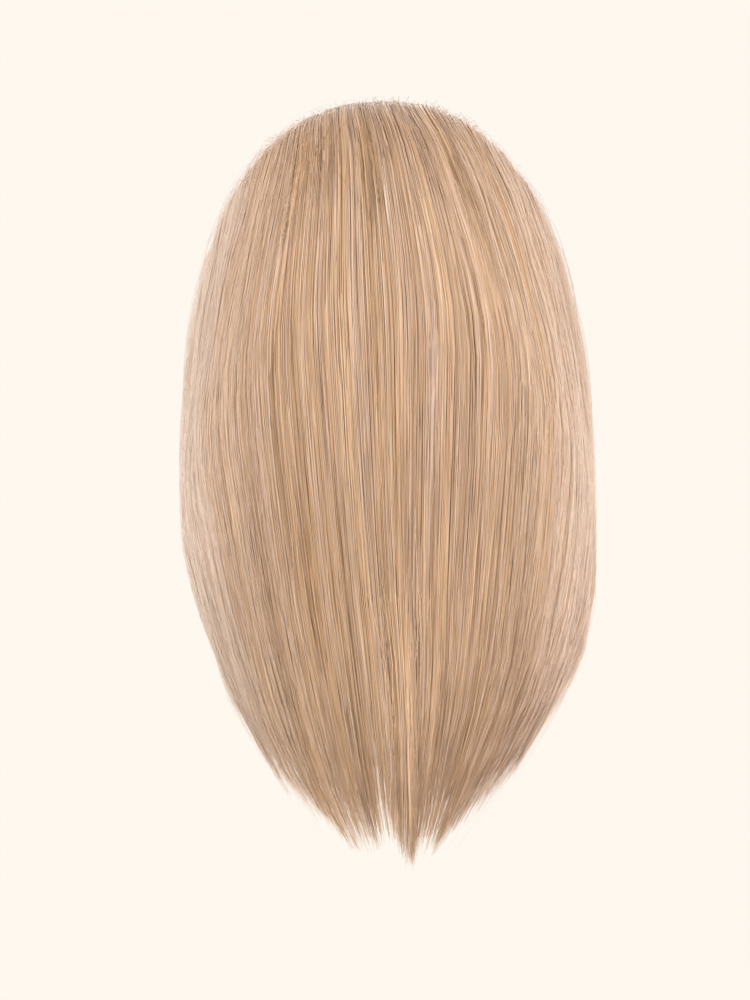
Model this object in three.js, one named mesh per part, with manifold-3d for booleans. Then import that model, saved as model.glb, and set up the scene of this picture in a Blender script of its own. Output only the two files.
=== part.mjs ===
// A long straight hairpiece for the crown of the head, in the form that it has when worn.
// A domed base cap carries the hair. The hair comes up from the cap's front edge, lies back over the crown
// and hangs round the back and sides of the head in locks that draw together to one point below the neck.
// Millimetres, +Z up, the wearer faces +Y. The origin is the middle of the cap's underside, on the crown.

import * as THREE from "three";
import { mergeVertices } from "three/addons/utils/BufferGeometryUtils.js";
import Module from "manifold-3d";

const wasm = await Module();
wasm.setup();

// The head under the piece, above its widest level.
const HEAD_HALF_BREADTH = 73;
const HEAD_HALF_LENGTH = 93;
const CROWN_HEIGHT = 95;
const HEAD_FULLNESS = 2.3;

// Base cap, in plan
const BASE_HALF_WIDTH = 58;
const BASE_HALF_LENGTH = 66;
const BASE_CORNER = 3;
const BASE_THICKNESS = 1.2;

// Comb clips under the cap
const CLIP_LENGTH = 30;
const CLIP_SPINE_WIDTH = 4;
const CLIP_TOOTH_LENGTH = 7;
const CLIP_TOOTH_WIDTH = 1.8;
const CLIP_TEETH = 6;
const CLIP_THICKNESS = 1;
const CLIP_INSET = 6;

// Hair: how far it stands off the head at the top, sides and back, and how far it falls
const CROWN_LIFT = 12.5;
const SIDE_VOLUME = 24;
const BACK_VOLUME = 18;
const HAIRLINE_OVERHANG = 2;
const TIP_DROP = 336;
const HAIR_WALL = 13;
const TIP_WALL = 1.4;
const LOCK_RELIEF = 3;

// Shares of the way down the hair: how deep the notches between the tips are, and where the wall starts to
// thin towards its tip. The wall's two front edges are this share thinner than its middle.
const NOTCH_DEPTH = 0.03;
const TAPER_START = 0.86;
const EDGE_THINNING = 0.5;

// Under layer, which hangs from the back edge of the cap inside the outer hair
const UNDER_GAP = 0.9;
const UNDER_ROOT_GAP = 3;
const UNDER_WALL = 2.5;
const UNDER_SPREAD = 0.7;
const UNDER_END = 0.85;
const UNDER_SIDE_RISE = 0.12;
const UNDER_LOCKS = 7;
const UNDER_STEP = 0.005;

// Pieces that touch in the real thing are this far apart.
const CLEARANCE = 0.3;

// How finely the shapes are divided
const LOCK_STEPS = 4;
const HAIR_ROWS = 28;
const UNDER_ROWS = 10;
const DOME_RINGS = 7;
const DOME_SECTORS = 40;

const HAIR_HALF_WIDTH = HEAD_HALF_BREADTH + SIDE_VOLUME;
const BACK_REACH = HEAD_HALF_LENGTH + BACK_VOLUME;
const FRONT_REACH = BASE_HALF_LENGTH + HAIRLINE_OVERHANG;

// Sections across the hair, at even steps from the hairline to the tips. Each is an arch from the left edge
// of the hair over its ridge to the right edge.
// left, right: how wide, from 0, as wide as the cap, to 1, the fullest width.
// edgeAhead, ridgeAhead: how far forward, as a share of the reach to the front, or if negative of the reach
// to the back.
// edgeLevel, ridgeLevel: how low, from 0 at the top of the hair through 1 at the head's widest level to 2 at
// the lowest tip.
// shift: how far the ridge stands to the right, as a share of the fullest half width.
// leftFull, rightFull: the superellipse exponents of the arch's two halves.
// wall, relief: shares of HAIR_WALL and LOCK_RELIEF.
const SECTIONS = table(
  [
    "left", "right", "edgeAhead", "edgeLevel", "shift", "ridgeAhead",
    "ridgeLevel", "leftFull", "rightFull", "wall", "relief",
  ],
  [
    [0.1, 0.1, 0.88, 0.54, 0, 1, 0.25, 2.2, 2.2, 0.5, 0.1],
    [0.3, 0.27, 0.77, 0.74, 0, 0.83, 0.09, 2.25, 2.15, 0.85, 0.2],
    [0.52, 0.46, 0.66, 0.92, 0, 0.47, 0.01, 2.28, 2.12, 0.9, 0.25],
    [0.78, 0.7, 0.56, 1.05, -0.01, -0.04, 0, 2.28, 2.1, 0.88, 0.3],
    [0.93, 0.83, 0.46, 1.14, -0.01, -0.37, 0.06, 2.25, 2.08, 0.7, 0.35],
    [0.99, 0.9, 0.35, 1.24, 0, -0.67, 0.23, 2.15, 2.1, 0.52, 0.45],
    [0.99, 0.91, 0.23, 1.31, 0, -0.87, 0.52, 2.1, 2.1, 0.49, 0.5],
    [0.97, 0.91, 0.1, 1.38, 0, -0.97, 0.88, 2.1, 2.1, 0.52, 0.55],
    [0.92, 0.9, -0.03, 1.44, 0, -1, 1.12, 2, 2, 0.58, 0.6],
    [0.82, 0.88, -0.14, 1.5, 0.01, -0.99, 1.3, 1.95, 1.95, 0.64, 0.65],
    [0.69, 0.84, -0.25, 1.56, 0.03, -0.965, 1.49, 1.9, 1.85, 0.7, 0.75],
    [0.53, 0.74, -0.35, 1.62, 0.06, -0.91, 1.67, 1.85, 1.8, 0.72, 0.9],
    [0.37, 0.56, -0.43, 1.68, 0.08, -0.855, 1.84, 1.8, 1.7, 0.6, 1],
    [0.2, 0.36, -0.5, 1.73, 0.1, -0.79, 2, 1.8, 1.6, 0, 0.6],
  ],
);

// The locks from the left edge of the hair to the right. width is relative to the others, reach is where the
// lock ends along the sections, and rise is its height as a share of the relief.
const LOCKS = table(
  ["panel", "width", "reach", "rise"],
  [
    ["hair_left", 0.9, 0.985, 0.7],
    ["hair_left", 1, 0.995, 1],
    ["hair_left", 1.15, 0.985, 0.8],
    ["hair_left", 0.95, 1, 1],
    ["hair_left", 1.1, 0.985, 0.85],
    ["hair_back", 0.9, 0.985, 0.75],
    ["hair_back", 1.05, 0.99, 1],
    ["hair_back", 0.9, 1, 0.9],
    ["hair_back", 1, 0.985, 1],
    ["hair_back", 0.95, 0.99, 0.75],
    ["hair_right", 1.05, 0.985, 0.9],
    ["hair_right", 1, 0.995, 1],
    ["hair_right", 1.15, 0.985, 0.8],
    ["hair_right", 0.95, 0.985, 1],
    ["hair_right", 0.9, 0.99, 0.7],
  ],
);

const PANELS = ["hair_left", "hair_back", "hair_right"];

// Where the clips sit, as the way from the middle of the cap to the middle of each edge
const CLIPS = [
  { name: "clip_front", towards: [0, 1] },
  { name: "clip_back", towards: [0, -1] },
  { name: "clip_left", towards: [-1, 0] },
  { name: "clip_right", towards: [1, 0] },
];

const hairFinish = new THREE.MeshStandardMaterial({ color: 0xcfa97f, roughness: 0.5, metalness: 0 });
const underHairFinish = new THREE.MeshStandardMaterial({ color: 0xb98f66, roughness: 0.6, metalness: 0 });
const capFinish = new THREE.MeshStandardMaterial({ color: 0xe3c7a6, roughness: 0.8, metalness: 0 });
const clipFinish = new THREE.MeshStandardMaterial({ color: 0xa8835a, roughness: 0.35, metalness: 0.8 });

const lerp = THREE.MathUtils.lerp;

function table(columns, rows) {
  return rows.map((row) => Object.fromEntries(columns.map((column, i) => [column, row[i]])));
}

function superArc(angle, fullness) {
  const power = 2 / fullness;
  return {
    across: Math.sign(angle) * Math.abs(Math.sin(angle)) ** power,
    along: Math.max(Math.cos(angle), 0) ** power,
  };
}

// Height of the head's surface over a point in plan. The crown is at 0.
function headHeight(x, y) {
  const across = Math.abs(x / HEAD_HALF_BREADTH) ** HEAD_FULLNESS;
  const along = Math.abs(y / HEAD_HALF_LENGTH) ** HEAD_FULLNESS;
  const used = across + along;
  return CROWN_HEIGHT * (Math.max(1 - used, 0) ** (1 / HEAD_FULLNESS) - 1);
}

// A point on the head's surface, moved outwards by an offset.
function headPoint(x, y, offset) {
  const step = 0.5;
  const slopeX = (headHeight(x + step, y) - headHeight(x - step, y)) / (2 * step);
  const slopeY = (headHeight(x, y + step) - headHeight(x, y - step)) / (2 * step);
  const outward = new THREE.Vector3(-slopeX, -slopeY, 1).normalize();
  return new THREE.Vector3(x, y, headHeight(x, y)).addScaledVector(outward, offset);
}

// The cap's outline in plan, grown outwards by a margin.
function capOutline(turn, margin) {
  const power = 2 / BASE_CORNER;
  const cos = Math.cos(turn);
  const sin = Math.sin(turn);
  return {
    x: Math.sign(cos) * Math.abs(cos) ** power * (BASE_HALF_WIDTH + margin),
    y: Math.sign(sin) * Math.abs(sin) ** power * (BASE_HALF_LENGTH + margin),
  };
}

// Whether a point lies over the cap or within a margin of its edge, in plan
function overCap({ x, y }, margin) {
  const across = Math.abs(x / (BASE_HALF_WIDTH + margin)) ** BASE_CORNER;
  const along = Math.abs(y / (BASE_HALF_LENGTH + margin)) ** BASE_CORNER;
  return across + along < 1;
}

function geometryOf(points, faces) {
  const geometry = new THREE.BufferGeometry().setFromPoints(points);
  geometry.setIndex(faces.flat());
  return geometry;
}

function solidOf(geometry) {
  const bare = geometry.clone();
  bare.deleteAttribute("normal");
  bare.deleteAttribute("uv");
  const merged = mergeVertices(bare, 1e-4);
  return new wasm.Manifold(
    new wasm.Mesh({
      numProp: 3,
      vertProperties: new Float32Array(merged.attributes.position.array),
      triVerts: new Uint32Array(merged.index.array),
    }),
  );
}

function geometryFrom(solid) {
  const { vertProperties, triVerts } = solid.getMesh();
  return new THREE.BufferGeometry()
    .setAttribute("position", new THREE.BufferAttribute(new Float32Array(vertProperties), 3))
    .setIndex(new THREE.BufferAttribute(new Uint32Array(triVerts), 1));
}

// A closed solid over the cap's plan. top and bottom give the two surfaces' points for a place in plan. A
// margin adds one more ring, outside the cap's outline.
function capSolid(top, bottom, margin = 0) {
  const rings = margin > 0 ? DOME_RINGS + 1 : DOME_RINGS;
  const points = [top(0, 0), bottom(0, 0)];
  const faces = [];
  const at = (ring, sector, lower) => {
    if (ring === 0) return lower;
    return 2 + ((ring - 1) * DOME_SECTORS + (sector % DOME_SECTORS)) * 2 + lower;
  };
  for (let ring = 1; ring <= rings; ring++) {
    const share = Math.min(ring / DOME_RINGS, 1);
    for (let sector = 0; sector < DOME_SECTORS; sector++) {
      const rim = capOutline((sector / DOME_SECTORS) * 2 * Math.PI, ring > DOME_RINGS ? margin : 0);
      points.push(top(rim.x * share, rim.y * share), bottom(rim.x * share, rim.y * share));
    }
  }
  for (let sector = 0; sector < DOME_SECTORS; sector++) {
    for (let ring = 1; ring <= rings; ring++) {
      for (const lower of [0, 1]) {
        const inside = [at(ring - 1, sector, lower), at(ring - 1, sector + 1, lower)];
        const outside = [at(ring, sector, lower), at(ring, sector + 1, lower)];
        const triangles = [[inside[0], outside[0], outside[1]]];
        if (ring > 1) triangles.push([inside[0], outside[1], inside[1]]);
        if (lower) triangles.forEach((triangle) => triangle.reverse());
        faces.push(...triangles);
      }
    }
    const [a, b] = [at(rings, sector, 0), at(rings, sector + 1, 0)];
    faces.push([a, a + 1, b + 1], [a, b + 1, b]);
  }
  return geometryOf(points, faces);
}

// A closed solid between an outer and an inner grid of points, each a list of columns.
function walledSheet(outer, inner) {
  const columns = outer.length;
  const rows = outer[0].length;
  const faces = [];
  const at = (side, column, row) => (side * columns + column) * rows + row;
  const quad = (a, b, c, d) => faces.push([a, b, c], [a, c, d]);
  // Both ends are divided along the same diagonal, so that two sheets that meet run side by side.
  const rim = (flip, a, b, c, d) => (flip ? quad(a, d, c, b) : quad(a, b, c, d));
  for (let column = 0; column < columns - 1; column++) {
    for (let row = 0; row < rows - 1; row++) {
      quad(at(0, column, row), at(0, column, row + 1), at(0, column + 1, row + 1), at(0, column + 1, row));
      quad(at(1, column, row), at(1, column + 1, row), at(1, column + 1, row + 1), at(1, column, row + 1));
    }
    for (const [row, flip] of [[0, false], [rows - 1, true]]) {
      rim(flip, at(0, column, row), at(0, column + 1, row), at(1, column + 1, row), at(1, column, row));
    }
  }
  for (let row = 0; row < rows - 1; row++) {
    for (const [column, flip] of [[0, false], [columns - 1, true]]) {
      rim(flip, at(0, column, row), at(1, column, row), at(1, column, row + 1), at(0, column, row + 1));
    }
  }
  return geometryOf([...outer.flat(), ...inner.flat()], faces);
}

function ahead(share) {
  return share * (share > 0 ? FRONT_REACH : BACK_REACH);
}

function height(level) {
  if (level < 1) return lerp(CROWN_LIFT, -CROWN_HEIGHT, level);
  return lerp(-CROWN_HEIGHT, -TIP_DROP, level - 1);
}

function halfWidth(spread) {
  return lerp(BASE_HALF_WIDTH, HAIR_HALF_WIDTH, spread);
}

const curveThrough = (pointOf) => new THREE.CatmullRomCurve3(SECTIONS.map(pointOf), false, "catmullrom", 0.5);
const edgeAt = (s, x) => new THREE.Vector3(x, ahead(s.edgeAhead), height(s.edgeLevel));
const leftEdge = curveThrough((s) => edgeAt(s, -halfWidth(s.left)));
const rightEdge = curveThrough((s) => edgeAt(s, halfWidth(s.right)));
const ridge = curveThrough(
  (s) => new THREE.Vector3(s.shift * HAIR_HALF_WIDTH, ahead(s.ridgeAhead), height(s.ridgeLevel)),
);
const fullness = curveThrough((s) => new THREE.Vector3(s.leftFull, s.rightFull, 0));
const build = curveThrough((s) => new THREE.Vector3(s.wall, s.relief, 0));

// A point of the smooth outer surface. across runs from -1 at the left edge to 1 at the right, and along from
// 0 at the hairline to 1 at the tips.
function hairPoint(across, along) {
  const crest = ridge.getPoint(along);
  const edge = (across < 0 ? leftEdge : rightEdge).getPoint(along);
  const exponents = fullness.getPoint(along);
  const arc = superArc((across * Math.PI) / 2, across < 0 ? exponents.x : exponents.y);
  return new THREE.Vector3(
    lerp(crest.x, edge.x, Math.abs(arc.across)),
    lerp(edge.y, crest.y, arc.along),
    lerp(edge.z, crest.z, arc.along),
  );
}

// The surface's direction across, from left to right, and its outward normal.
function hairFrame(across, along) {
  const step = 0.004;
  const before = Math.max(across - step, -1);
  const after = Math.min(across + step, 1);
  const rightwards = hairPoint(after, along).sub(hairPoint(before, along)).normalize();
  const down = hairPoint(across, Math.min(along + step, 1)).sub(hairPoint(across, Math.max(along - step, 0)));
  const outward = down.clone().cross(rightwards).normalize();
  return { rightwards, outward };
}

// The wall thins to TIP_WALL at the tips and by EDGE_THINNING at the two front edges.
function hairWall(across, along, end) {
  const full = HAIR_WALL * build.getPoint(along).x * (1 - EDGE_THINNING * across ** 2);
  const towardsTip = THREE.MathUtils.smoothstep(along / end, TAPER_START, 1);
  return lerp(full, TIP_WALL, towardsTip);
}

const totalLockWidth = LOCKS.reduce((sum, lock) => sum + lock.width, 0);

// Columns of the outer hair: where each lies across, how far along it ends, and how high it stands.
function lockColumns(panel) {
  const columns = [];
  let start = 0;
  LOCKS.forEach((lock, i) => {
    const endOfGroove = (other) => Math.min(lock.reach, (other ?? lock).reach) - NOTCH_DEPTH;
    if (lock.panel === panel) {
      for (let step = 0; step <= LOCK_STEPS; step++) {
        const share = step / LOCK_STEPS;
        if (step === 0 && columns.length) continue;
        const crest = Math.sin(Math.PI * share);
        const groove = endOfGroove(share < 0.5 ? LOCKS[i - 1] : LOCKS[i + 1]);
        columns.push({
          across: ((start + lock.width * share) / totalLockWidth) * 2 - 1,
          end: lerp(groove, lock.reach, crest),
          height: lock.rise * crest ** 0.7,
        });
      }
    }
    start += lock.width;
  });
  return columns;
}

function hairPanel(panel) {
  const columns = lockColumns(panel);
  const outer = [];
  const inner = [];
  columns.forEach((column, i) => {
    const shrink = i === 0 ? 1 : i === columns.length - 1 ? -1 : 0;
    const outerLine = [];
    const innerLine = [];
    for (let row = 0; row <= HAIR_ROWS; row++) {
      const along = (column.end * row) / HAIR_ROWS;
      const { rightwards, outward } = hairFrame(column.across, along);
      const place = hairPoint(column.across, along).addScaledVector(rightwards, (shrink * CLEARANCE) / 2);
      const relief = LOCK_RELIEF * build.getPoint(along).y * (column.height - 0.5);
      outerLine.push(place.clone().addScaledVector(outward, relief));
      innerLine.push(place.clone().addScaledVector(outward, -hairWall(column.across, along, column.end)));
    }
    outer.push(outerLine);
    inner.push(innerLine);
  });
  return solidOf(walledSheet(outer, inner)).subtract(seatCutter);
}

// The under layer lies just inside the outer hair's wall, in shallow locks of its own. Each of its columns
// starts where it comes clear of the cap's edge.
function underHair() {
  const columns = UNDER_LOCKS * LOCK_STEPS;
  const outer = [];
  const inner = [];
  for (let i = 0; i <= columns; i++) {
    const across = lerp(-UNDER_SPREAD, UNDER_SPREAD, i / columns);
    const crest = Math.abs(Math.sin((Math.PI * i) / LOCK_STEPS));
    const end = UNDER_END - NOTCH_DEPTH * (1 - crest) - UNDER_SIDE_RISE * (across / UNDER_SPREAD) ** 2;
    const pointAt = (along, wall) => {
      const depth = hairWall(across, along, 1) + UNDER_GAP + wall;
      return hairPoint(across, along).addScaledVector(hairFrame(across, along).outward, -depth);
    };
    let start = end;
    while (start > UNDER_STEP && !overCap(pointAt(start, UNDER_WALL), UNDER_ROOT_GAP)) start -= UNDER_STEP;
    const outerLine = [];
    const innerLine = [];
    for (let row = 0; row <= UNDER_ROWS; row++) {
      const along = lerp(start, end, row / UNDER_ROWS);
      const wall = lerp(UNDER_WALL, TIP_WALL, THREE.MathUtils.smoothstep(row / UNDER_ROWS, TAPER_START, 1));
      outerLine.push(pointAt(along, 0));
      innerLine.push(pointAt(along, wall));
    }
    outer.push(outerLine);
    inner.push(innerLine);
  }
  return walledSheet(outer, inner);
}

// A flat comb outline, its spine along X at the edge and its teeth towards -Y
function combShape() {
  const half = CLIP_LENGTH / 2;
  const pitch = (CLIP_LENGTH - CLIP_TOOTH_WIDTH) / (CLIP_TEETH - 1);
  const shape = new THREE.Shape();
  shape.moveTo(-half, CLIP_SPINE_WIDTH);
  for (let tooth = 0; tooth < CLIP_TEETH; tooth++) {
    const left = -half + tooth * pitch;
    const right = left + CLIP_TOOTH_WIDTH;
    shape.lineTo(left, 0);
    shape.lineTo(left + CLIP_TOOTH_WIDTH / 4, -CLIP_TOOTH_LENGTH);
    shape.lineTo(right - CLIP_TOOTH_WIDTH / 4, -CLIP_TOOTH_LENGTH);
    shape.lineTo(right, 0);
  }
  shape.lineTo(half, CLIP_SPINE_WIDTH);
  shape.closePath();
  return shape;
}

// The clip is the part of a thin dome under the cap that stands over the comb's outline.
function clipSolid([towardsX, towardsY]) {
  const comb = new THREE.ExtrudeGeometry(combShape(), { depth: 2 * CROWN_HEIGHT, bevelEnabled: false });
  comb.translate(0, -CLIP_SPINE_WIDTH, -CROWN_HEIGHT);
  comb.rotateZ(Math.atan2(towardsY, towardsX) - Math.PI / 2);
  comb.translate(towardsX * (BASE_HALF_WIDTH - CLIP_INSET), towardsY * (BASE_HALF_LENGTH - CLIP_INSET), 0);
  return clipDome.intersect(solidOf(comb));
}

const onHead = (offset) => (x, y) => headPoint(x, y, offset);
const capGeometry = capSolid(onHead(BASE_THICKNESS), onHead(0));
const clipDome = solidOf(capSolid(onHead(-CLEARANCE), onHead(-CLEARANCE - CLIP_THICKNESS)));
// What the hair leaves free for the cap: the space under its top, down past the lowest root
const seatCutter = solidOf(
  capSolid(
    onHead(BASE_THICKNESS + CLEARANCE),
    (x, y) => new THREE.Vector3(x, y, -CROWN_HEIGHT),
    BASE_THICKNESS + CLEARANCE,
  ),
);

const hairpiece = new THREE.Group();

function addPiece(name, geometry, finish) {
  const mesh = new THREE.Mesh(geometry, finish);
  mesh.name = name;
  hairpiece.add(mesh);
}

addPiece("base_cap", capGeometry, capFinish);
for (const clip of CLIPS) addPiece(clip.name, geometryFrom(clipSolid(clip.towards)), clipFinish);
for (const panel of PANELS) addPiece(panel, geometryFrom(hairPanel(panel)), hairFinish);
addPiece("under_hair", underHair(), underHairFinish);

export default hairpiece;
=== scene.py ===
# A long straight hairpiece for the crown of the head, as it hangs when worn and as seen from behind.
# The solids of the hair give way to hair: an opaque core in fine ridges for each, and thousands of tapered
# strands that lie over it in locks, cross a little, and draw together at the tips.

import math

import bpy
import numpy as np
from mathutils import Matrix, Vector


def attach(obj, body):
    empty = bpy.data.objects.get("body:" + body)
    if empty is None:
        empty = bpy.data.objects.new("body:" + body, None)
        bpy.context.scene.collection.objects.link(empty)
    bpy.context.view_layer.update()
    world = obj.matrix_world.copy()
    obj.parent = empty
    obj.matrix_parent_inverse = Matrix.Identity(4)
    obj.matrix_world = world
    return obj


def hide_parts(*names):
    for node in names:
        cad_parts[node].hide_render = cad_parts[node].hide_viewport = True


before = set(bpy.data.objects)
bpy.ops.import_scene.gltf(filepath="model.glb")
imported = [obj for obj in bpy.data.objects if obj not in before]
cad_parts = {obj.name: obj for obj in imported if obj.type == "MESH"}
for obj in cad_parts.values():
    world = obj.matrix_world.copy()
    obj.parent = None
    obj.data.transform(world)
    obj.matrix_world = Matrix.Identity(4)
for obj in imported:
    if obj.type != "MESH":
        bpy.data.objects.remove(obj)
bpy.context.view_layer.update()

MM = 0.001
SEED = 14

# The solids' driving sizes, in millimetres or as shares and exponents. Cores and strands follow the same
# surface.
BASE_HALF_WIDTH = 58
HAIR_HALF_WIDTH = 97
FRONT_REACH = 68
BACK_REACH = 111
CROWN_LIFT = 12.5
CROWN_HEIGHT = 95
TIP_DROP = 336
HAIR_WALL = 13
TIP_WALL = 1.4
LOCK_RELIEF = 3
LOCK_ROUNDNESS = 0.7
TAPER_START = 0.86
EDGE_THINNING = 0.5
UNDER_GAP = 0.9
UNDER_SPREAD = 0.7
UNDER_END = 0.85
UNDER_SIDE_RISE = 0.12
UNDER_WALL = 2.5
UNDER_ROOT_GAP = 3
BASE_HALF_LENGTH = 66
BASE_CORNER = 3
BASE_THICKNESS = 1.2
HEAD_HALF_BREADTH = 73
HEAD_HALF_LENGTH = 93
HEAD_FULLNESS = 2.3
CLEARANCE = 0.5

# The hem that the strands make: how deep the notches between locks are and how much of them shows, the hem's
# place along the hair at places across it, and the furthest that any strand reaches
NOTCH_DEPTH = 0.03
HEM_LOCKS = 0.3
HEM_PLACES = np.array([-1, -0.45, -0.3, -0.22, -0.15, -0.1, -0.06, 0.01, 0.05, 0.1, 0.18, 0.28, 0.4, 1])
HEM_SHARES = np.array([
    1, 1.005, 1.012, 1.018, 1.005, 0.99, 1.012, 1.014, 1.002, 1.008, 1.004, 0.995, 0.99, 0.995,
])
LONGEST = 1.03

# Sections across the hair, at even steps from the hairline to the tips: widths as shares from the cap's to
# the fullest, places ahead or back as shares of the reach, levels from 0 at the top of the hair through 1 at
# the head's widest level to 2 at the lowest tip, the arch's two exponents, and shares of wall and relief.
SECTION_COLUMNS = [
    "left", "right", "edge_ahead", "edge_level", "shift", "ridge_ahead",
    "ridge_level", "left_full", "right_full", "wall", "relief",
]
SECTION_ROWS = [
    [0.1, 0.1, 0.88, 0.54, 0, 1, 0.25, 2.2, 2.2, 0.5, 0.1],
    [0.3, 0.27, 0.77, 0.74, 0, 0.83, 0.09, 2.25, 2.15, 0.85, 0.2],
    [0.52, 0.46, 0.66, 0.92, 0, 0.47, 0.01, 2.28, 2.12, 0.9, 0.25],
    [0.78, 0.7, 0.56, 1.05, -0.01, -0.04, 0, 2.28, 2.1, 0.88, 0.3],
    [0.93, 0.83, 0.46, 1.14, -0.01, -0.37, 0.06, 2.25, 2.08, 0.7, 0.35],
    [0.99, 0.9, 0.35, 1.24, 0, -0.67, 0.23, 2.15, 2.1, 0.52, 0.45],
    [0.99, 0.91, 0.23, 1.31, 0, -0.87, 0.52, 2.1, 2.1, 0.49, 0.5],
    [0.97, 0.91, 0.1, 1.38, 0, -0.97, 0.88, 2.1, 2.1, 0.52, 0.55],
    [0.92, 0.9, -0.03, 1.44, 0, -1, 1.12, 2, 2, 0.58, 0.6],
    [0.82, 0.88, -0.14, 1.5, 0.01, -0.99, 1.3, 1.95, 1.95, 0.64, 0.65],
    [0.69, 0.84, -0.25, 1.56, 0.03, -0.965, 1.49, 1.9, 1.85, 0.7, 0.75],
    [0.53, 0.74, -0.35, 1.62, 0.06, -0.91, 1.67, 1.85, 1.8, 0.72, 0.9],
    [0.37, 0.56, -0.43, 1.68, 0.08, -0.855, 1.84, 1.8, 1.7, 0.6, 1],
    [0.2, 0.36, -0.5, 1.73, 0.1, -0.79, 2, 1.8, 1.6, 0, 0.6],
]

# The locks from the left edge of the hair to the right: relative width, height as a share of the relief, and
# where they end along the hair
LOCK_WIDTHS = np.array([0.9, 1, 1.15, 0.95, 1.1, 0.9, 1.05, 0.9, 1, 0.95, 1.05, 1, 1.15, 0.95, 0.9])
LOCK_RISES = np.array([0.7, 1, 0.8, 1, 0.85, 0.75, 1, 0.9, 1, 0.75, 0.9, 1, 0.8, 1, 0.7])
LOCK_REACHES = np.array([
    0.985, 0.995, 0.985, 1, 0.985, 0.985, 0.99, 1, 0.985, 0.99, 0.985, 0.995, 0.985, 0.985, 0.99,
])
PANELS = ["hair_left", "hair_back", "hair_right"]
LOCKS_PER_PANEL = 5

# Between their two ends the strands, loose hairs apart, and the outer cores bend only at these places along
# the hair, so that strands that lie side by side don't dip through each other.
BENDS = np.array([
    0, 0.04, 0.09, 0.14, 0.195, 0.25, 0.3, 0.33, 0.36, 0.39, 0.42, 0.45, 0.48, 0.51, 0.545, 0.58,
    0.62, 0.67, 0.725, 0.78, 0.83, 0.875, 0.915, 0.955, 1,
])

# Layers of strands, gathered in so many locks. across is how far out from the middle they hang, where more
# than 1 is led along the side edge; start and end are ranges along the hair, from 0 at the hairline to 1 at
# the tips. width and lift are ranges in millimetres, the lift from the outer face or, where inner is 1, from
# the inner one; bend is how far the locks wander, tone how much lighter the strands are, fan is 1 where the
# layer opens out over the crown, and waves is how far a strand sways, in millimetres. The lower tones of the
# deeper and inner layers are painted shade, and the fringe's higher tone is painted light shining through
# the thin hair.
LAYER_COLUMNS = [
    "name", "count", "locks", "across", "start", "end",
    "width", "lift", "bend", "tone", "fan", "inner", "waves",
]
LAYER_ROWS = [
    ["locks", 940, 250, (0, 1.5), (0, 0.02), (0.92, 1),
     (0.8, 1.3), (-2.5, -1.5), 0.7, -0.06, 1, 0, 0.2],
    ["top_strands", 2250, 450, (0, 1.5), (0, 0.31), (0.92, 1),
     (0.3, 0.52), (-1.3, -0.3), 1, 0, 1, 0, 0.3],
    ["back_strands", 2300, 420, (0, 1.15), (0.3, 0.6), (0.91, 1),
     (0.28, 0.48), (-1.5, -0.4), 1.2, 0, 1, 0, 0.3],
    ["fringe", 1150, 800, (0.4, 1.5), (0.1, 0.6), (0.8, 1),
     (0.15, 0.23), (-0.6, 3.0), 2.4, 0.2, 1, 0, 1.1],
    ["rim", 240, 90, (0.92, 1), (0, 0.1), (0.84, 1),
     (0.6, 1.0), (-3, -0.8), 0.1, -0.02, 0, 0, 0.2],
    ["side_lining", 400, 160, (0.58, 1), (0.05, 0.5), (0.9, 1),
     (0.8, 1.3), (-0.4, 0.9), 1, -0.05, 0, 1, 0.3],
    ["tip_lining", 340, 160, (0, 0.62), (0.66, 0.78), (0.93, 1),
     (0.8, 1.3), (-0.4, 0.9), 1, -0.05, 0, 1, 0.3],
]

# The under layer's strands. Their start is counted from where the layer comes clear of the cap, and their
# end is a share of its own hem. Their lower tone is painted shade under the outer hair.
UNDER_LAYER = [
    "strands", 700, 140, (0, 0.71), (0, 0.02), (0.9, 1.04),
    (0.8, 1.3), (-0.3, 0.7), 1, -0.1, 0, 1, 0.3,
]

# Single locks that stand out, light or dark: where they hang, where they start and end, how wide they spread,
# how many strands, their tone and whether they are golden or ashen.
ACCENT_COLUMNS = ["across", "start", "end", "spread", "count", "tone", "golden"]
ACCENT_ROWS = [
    [-0.3, 0.32, 0.46, 0.08, 70, 0.3, 1],
    [-0.17, 0.32, 0.43, 0.02, 26, 0.22, 0],
    [-0.03, 0.32, 0.47, 0.03, 50, 0.24, 1],
    [0.05, 0.32, 0.44, 0.02, 20, 0.28, 0],
    [0.24, 0.32, 0.45, 0.03, 34, 0.3, 0],
    [0.38, 0.34, 0.48, 0.03, 34, 0.28, 1],
    [0.5, 0.36, 0.5, 0.05, 34, 0.3, 1],
    [-0.55, 0.36, 0.5, 0.06, 50, 0.3, 1],
    [0.02, 0.40, 0.52, 0.004, 7, 0.84, 0],
    [0.115, 0.44, 0.62, 0.006, 9, 0.8, 0],
    [0.30, 0.47, 0.62, 0.008, 14, 0.24, 1],
    [-0.21, 0.54, 0.67, 0.007, 12, 0.22, 0],
    [-0.085, 0.62, 0.76, 0.006, 8, 0.24, 0],
    [0.06, 0.66, 0.84, 0.006, 18, 0.14, 0],
    [0.135, 0.62, 0.78, 0.006, 14, 0.2, 0],
    [-0.33, 0.66, 0.84, 0.008, 18, 0.22, 1],
    [-0.38, 0.55, 0.74, 0.007, 16, 0.24, 1],
    [0.45, 0.54, 0.68, 0.007, 14, 0.24, 1],
    [-0.22, 0.78, 0.94, 0.008, 20, 0.18, 1],
    [0.0, 0.74, 0.97, 0.07, 60, 0.62, 1],
    [0.2, 0.74, 0.92, 0.007, 18, 0.16, 0],
    [0.34, 0.76, 0.94, 0.008, 18, 0.2, 1],
    [-0.24, 0.84, 0.975, 0.02, 50, 0.2, 0],
    [0.13, 0.52, 0.7, 0.012, 20, 0.68, 0],
    [-0.14, 0.52, 0.74, 0.016, 26, 0.68, 1],
    [-0.45, 0.5, 0.8, 0.02, 30, 0.68, 0],
    [0.62, 0.5, 0.8, 0.02, 30, 0.68, 0],
]


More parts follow.
